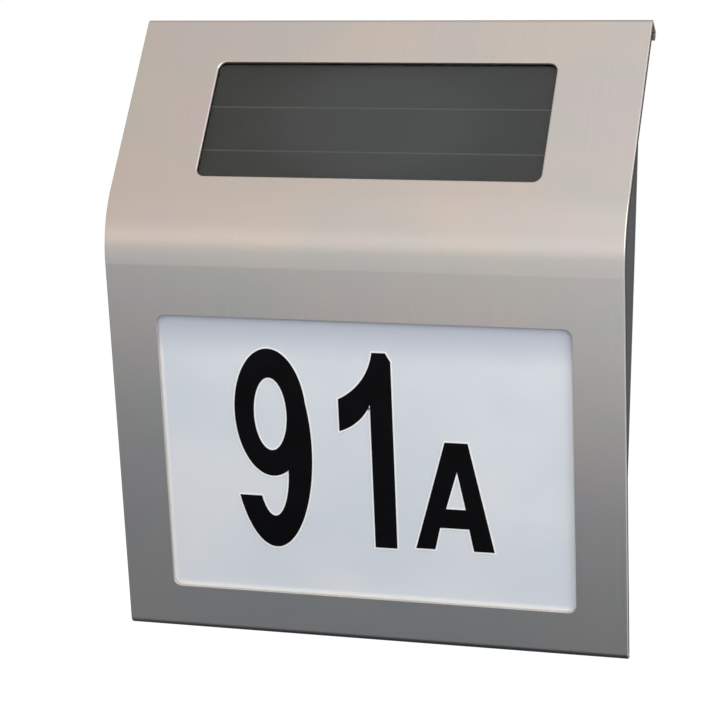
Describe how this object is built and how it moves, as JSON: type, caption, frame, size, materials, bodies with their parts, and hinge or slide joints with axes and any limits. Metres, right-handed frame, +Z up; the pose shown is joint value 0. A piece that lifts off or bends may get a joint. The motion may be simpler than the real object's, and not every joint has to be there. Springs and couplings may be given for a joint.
{
  "type": "solar house number sign",
  "caption": "Wall-hung solar house number sign: a bent brushed steel front with a dark solar window above a backlit white number window, on a plastic housing that lifts off a wall bracket.",
  "frame": {"origin": "midway between the two wall screws, on the wall plane at the back of the bracket", "axes": "+X to the viewer's right, +Y into the wall, +Z up"},
  "size_m": [0.18, 0.0462, 0.2144],
  "materials": {
    "brushed_stainless": "fine satin brushed stainless sheet",
    "foam_tape": "closed-cell foam tape",
    "grey_abs": "moulded grey ABS, fine texture",
    "black_rubber": "extruded rubber gasket",
    "dark_abs": "moulded dark ABS, fine texture",
    "zinc_screw": "bright zinc-plated steel",
    "solar_glass": "tempered solar glass",
    "solar_cell": "dark silicon cell",
    "backsheet": "grey laminate board",
    "silicone": "cured silicone bead",
    "opal_acrylic": "satin opal acrylic",
    "black_vinyl": "cut vinyl film",
    "white_abs": "moulded white ABS",
    "white_circuit_board": "white solder mask",
    "green_circuit_board": "green solder mask",
    "led_package": "white package with yellow phosphor",
    "cell_sleeve": "plain shrink sleeve on a steel can",
    "nickel_steel": "nickel-plated spring steel",
    "chip_epoxy": "moulded epoxy",
    "ferrite": "sintered ferrite",
    "capacitor_sleeve": "shrink-sleeved aluminium can",
    "switch_shell": "tinned steel shell",
    "knob_plastic": "moulded acetal knob",
    "red_lead": "PVC-insulated stranded lead",
    "black_lead": "PVC-insulated stranded lead",
    "galvanised_steel": "zinc-coated steel strip"
  },
  "bodies": {
    "bracket": {"wall_bracket": "galvanised_steel"},
    "lamp": {"front_cover": "brushed_stainless", "cover_tape": "foam_tape", "window_seal": "foam_tape", "housing": "grey_abs", "back_seal": "black_rubber", "back_cover": "dark_abs", "back_cover_screws": "zinc_screw", "led_board_screws": "zinc_screw", "control_board_screws": "zinc_screw", "solar_glass": "solar_glass", "solar_cells": "solar_cell", "solar_backsheet": "backsheet", "solar_seal": "silicone", "number_window": "opal_acrylic", "numeral_9": "black_vinyl", "numeral_1": "black_vinyl", "letter_a": "black_vinyl", "light_tray": "white_abs", "led_board": "white_circuit_board", "control_board": "green_circuit_board", "leds": "led_package", "battery_cell": "cell_sleeve", "battery_contact_positive": "nickel_steel", "battery_contact_negative": "nickel_steel", "controller_chip": "chip_epoxy", "inductor": "ferrite", "capacitor": "capacitor_sleeve", "switch_body": "switch_shell", "solar_lead_plus": "red_lead", "led_lead_plus": "red_lead", "battery_lead_plus": "red_lead", "solar_lead_minus": "black_lead", "led_lead_minus": "black_lead", "battery_lead_minus": "black_lead"},
    "battery_door": {"battery_door": "dark_abs", "door_pad": "foam_tape"},
    "switch_knob": {"switch_slider": "knob_plastic"}
  },
  "joints": [
    {"name": "lamp_lift", "type": "slide", "parent": "bracket", "child": "lamp", "axis": [0, 0, 1], "range_m": [0, 0.01]},
    {"name": "door_slide", "type": "slide", "parent": "lamp", "child": "battery_door", "axis": [-1, 0, 0], "range_m": [0, 0.012]},
    {"name": "switch_slide", "type": "slide", "parent": "lamp", "child": "switch_knob", "axis": [1, 0, 0], "range_m": [0, 0.004]}
  ]
}
